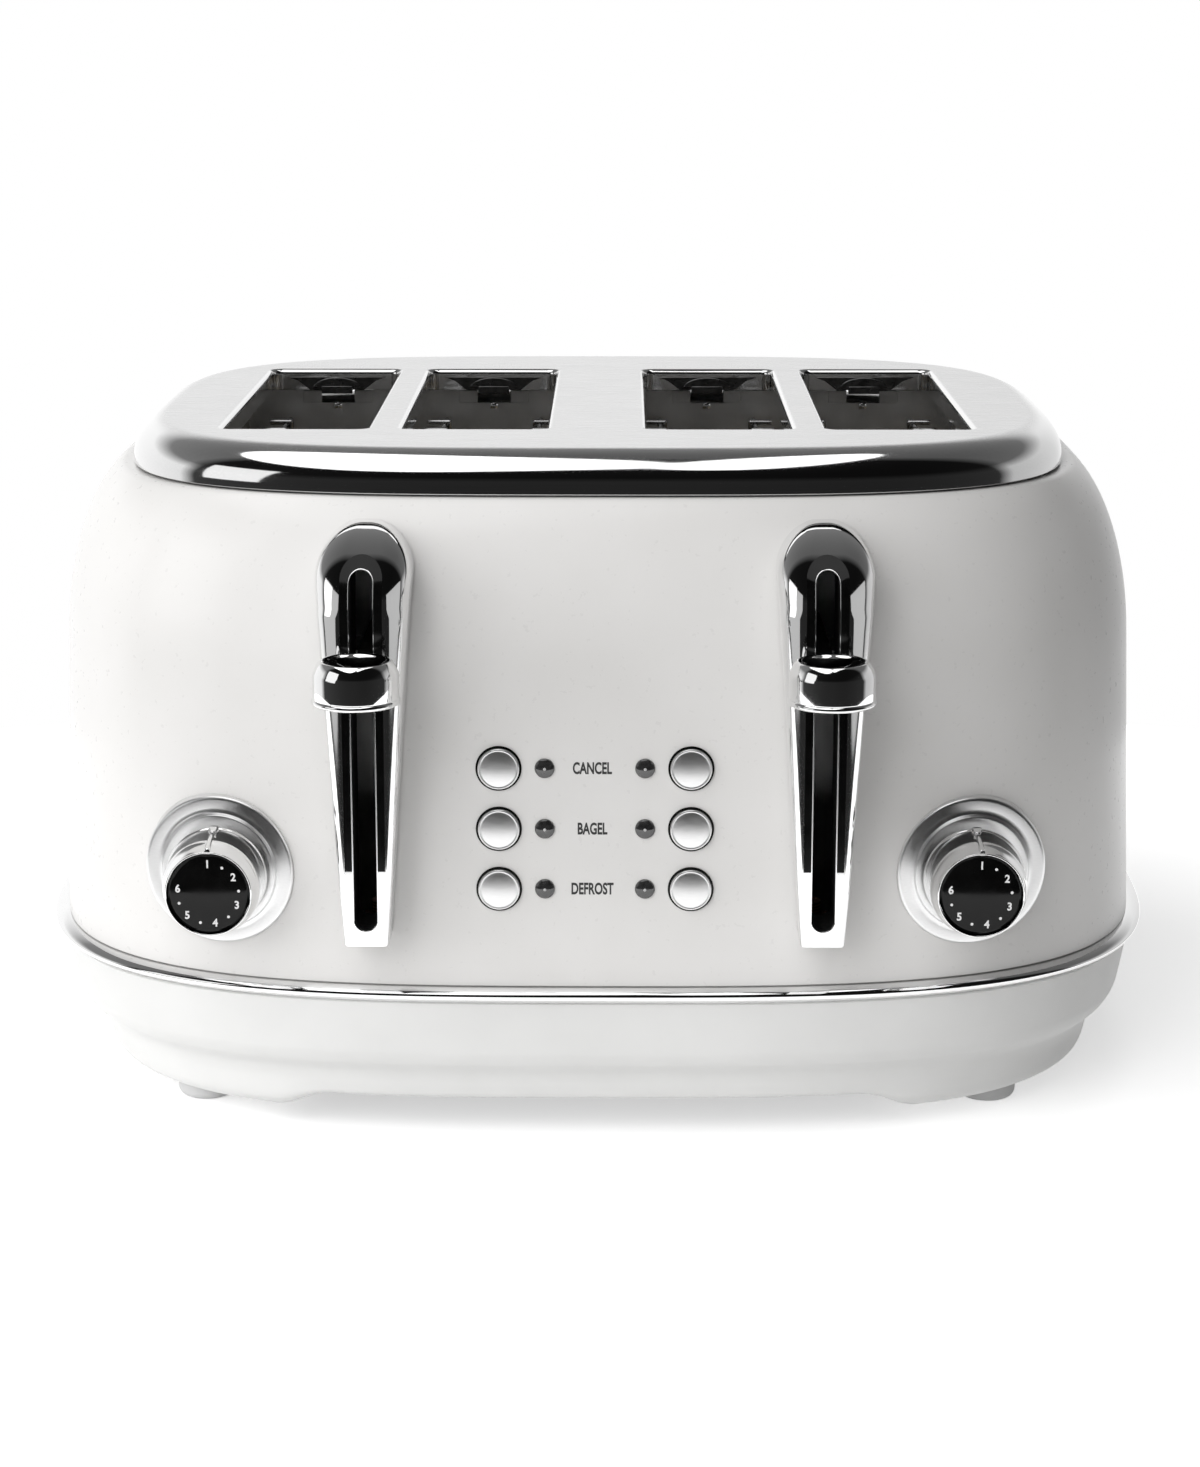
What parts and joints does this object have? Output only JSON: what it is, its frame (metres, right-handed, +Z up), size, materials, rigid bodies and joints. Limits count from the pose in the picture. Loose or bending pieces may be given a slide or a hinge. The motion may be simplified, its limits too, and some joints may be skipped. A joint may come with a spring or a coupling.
{
  "type": "pop up toaster",
  "caption": "Pop up toaster with long bread slots in two sets, sliding levers and carriages, turning browning dials, push buttons and pull-out crumb trays.",
  "frame": {"origin": "on the surface the toaster stands on, under the middle of its whole width and depth", "axes": "+X to the right of someone facing the levers, -Y towards that person, +Z up"},
  "size_m": [0.32, 0.3006, 0.188],
  "materials": {
    "white_paint": "satin",
    "satin_steel": "satin top with a polished edge",
    "chrome": "polished",
    "white_plastic": "smooth",
    "grey_plastic": "moulded",
    "black_gloss": "gloss",
    "foot_rubber": "smooth",
    "zinc_steel": "bright zinc",
    "guide_wire": "drawn wire",
    "mica": "flaky sheet",
    "heater_alloy": "flat ribbon",
    "coil_copper": "enamelled winding",
    "satin_chrome": "satin",
    "lens": "clear",
    "board": "coated laminate",
    "tray_metal": "rolled"
  },
  "bodies": {
    "root": {"body_shell": "white_paint", "top_plate": "satin_steel", "trim_ring": "chrome", "base_plinth": "white_plastic", "bottom_cover": "grey_plastic", "rubber_feet": "foot_rubber", "cover_screws": "zinc_steel", "cord_gland": "grey_plastic", "slot_liners": "black_gloss", "guide_rods": "zinc_steel", "electromagnets": "coil_copper", "chassis_front": "zinc_steel", "chassis_rear": "zinc_steel", "chassis_sides": "zinc_steel", "heater_cards": "mica", "heating_ribbons": "heater_alloy", "rotary_controls": "grey_plastic", "button_bezels": "black_gloss", "indicator_lenses": "lens", "control_board": "board", "lever_housing_left": "chrome", "dial_flange_left": "satin_chrome", "dial_face_left": "black_gloss", "return_spring_left": "zinc_steel", "lever_housing_right": "chrome", "dial_flange_right": "satin_chrome", "dial_face_right": "black_gloss", "return_spring_right": "zinc_steel"},
    "lever_left": {"lever_knob_left": "chrome", "lever_arm_left": "grey_plastic", "carriage_left": "zinc_steel", "latch_plate_left": "zinc_steel", "bread_rack_1": "guide_wire", "bread_rack_2": "guide_wire"},
    "guides_left_a": {"bread_guide_1a": "guide_wire", "bread_guide_2a": "guide_wire"},
    "guides_left_b": {"bread_guide_1b": "guide_wire", "bread_guide_2b": "guide_wire"},
    "dial_left": {"dial_knob_left": "chrome"},
    "button_cancel_left": {"button_cancel_left": "satin_chrome"},
    "button_bagel_left": {"button_bagel_left": "satin_chrome"},
    "button_defrost_left": {"button_defrost_left": "satin_chrome"},
    "crumb_tray_left": {"crumb_tray_left": "tray_metal"},
    "lever_right": {"lever_knob_right": "chrome", "lever_arm_right": "grey_plastic", "carriage_right": "zinc_steel", "latch_plate_right": "zinc_steel", "bread_rack_3": "guide_wire", "bread_rack_4": "guide_wire"},
    "guides_right_a": {"bread_guide_3a": "guide_wire", "bread_guide_4a": "guide_wire"},
    "guides_right_b": {"bread_guide_3b": "guide_wire", "bread_guide_4b": "guide_wire"},
    "dial_right": {"dial_knob_right": "chrome"},
    "button_cancel_right": {"button_cancel_right": "satin_chrome"},
    "button_bagel_right": {"button_bagel_right": "satin_chrome"},
    "button_defrost_right": {"button_defrost_right": "satin_chrome"},
    "crumb_tray_right": {"crumb_tray_right": "tray_metal"}
  },
  "joints": [
    {"name": "lever_left_slide", "type": "slide", "parent": "root", "child": "lever_left", "axis": [0, 0, 1], "range_m": [-0.058, 0.02], "stiffness_N_per_m": 120, "springref_m": 0.0105, "deforming": ["return_spring_left"]},
    {"name": "guides_left_a_slide", "type": "slide", "parent": "root", "child": "guides_left_a", "axis": [1, 0, 0], "range_m": [-0.0018, 0.0051]},
    {"name": "guides_left_b_slide", "type": "slide", "parent": "root", "child": "guides_left_b", "axis": [-1, 0, 0], "range_m": [-0.0018, 0.0051]},
    {"name": "dial_left_turn", "type": "hinge", "parent": "root", "child": "dial_left", "pos_m": [-0.1003, 0, 0.0772], "axis": [0, 1, 0], "range_deg": [0, 280]},
    {"name": "button_cancel_left_press", "type": "slide", "parent": "root", "child": "button_cancel_left", "axis": [0, 1, 0], "range_m": [0, 0.0015], "stiffness_N_per_m": 200},
    {"name": "button_bagel_left_press", "type": "slide", "parent": "root", "child": "button_bagel_left", "axis": [0, 1, 0], "range_m": [0, 0.0015], "stiffness_N_per_m": 200},
    {"name": "button_defrost_left_press", "type": "slide", "parent": "root", "child": "button_defrost_left", "axis": [0, 1, 0], "range_m": [0, 0.0015], "stiffness_N_per_m": 200},
    {"name": "crumb_tray_left_slide", "type": "slide", "parent": "root", "child": "crumb_tray_left", "axis": [0, 1, 0], "range_m": [0, 0.19]},
    {"name": "lever_right_slide", "type": "slide", "parent": "root", "child": "lever_right", "axis": [0, 0, 1], "range_m": [-0.058, 0.02], "stiffness_N_per_m": 120, "springref_m": 0.0105, "deforming": ["return_spring_right"]},
    {"name": "guides_right_a_slide", "type": "slide", "parent": "root", "child": "guides_right_a", "axis": [1, 0, 0], "range_m": [-0.0018, 0.0051]},
    {"name": "guides_right_b_slide", "type": "slide", "parent": "root", "child": "guides_right_b", "axis": [-1, 0, 0], "range_m": [-0.0018, 0.0051]},
    {"name": "dial_right_turn", "type": "hinge", "parent": "root", "child": "dial_right", "pos_m": [0.1003, 0, 0.0772], "axis": [0, 1, 0], "range_deg": [0, 280]},
    {"name": "button_cancel_right_press", "type": "slide", "parent": "root", "child": "button_cancel_right", "axis": [0, 1, 0], "range_m": [0, 0.0015], "stiffness_N_per_m": 200},
    {"name": "button_bagel_right_press", "type": "slide", "parent": "root", "child": "button_bagel_right", "axis": [0, 1, 0], "range_m": [0, 0.0015], "stiffness_N_per_m": 200},
    {"name": "button_defrost_right_press", "type": "slide", "parent": "root", "child": "button_defrost_right", "axis": [0, 1, 0], "range_m": [0, 0.0015], "stiffness_N_per_m": 200},
    {"name": "crumb_tray_right_slide", "type": "slide", "parent": "root", "child": "crumb_tray_right", "axis": [0, 1, 0], "range_m": [0, 0.19]}
  ],
  "couplings": [
    {"joint": "guides_left_a_slide", "follows": "lever_left_slide", "ratio": -0.0862},
    {"joint": "guides_left_b_slide", "follows": "lever_left_slide", "ratio": -0.0862},
    {"joint": "guides_right_a_slide", "follows": "lever_right_slide", "ratio": -0.0862},
    {"joint": "guides_right_b_slide", "follows": "lever_right_slide", "ratio": -0.0862}
  ]
}
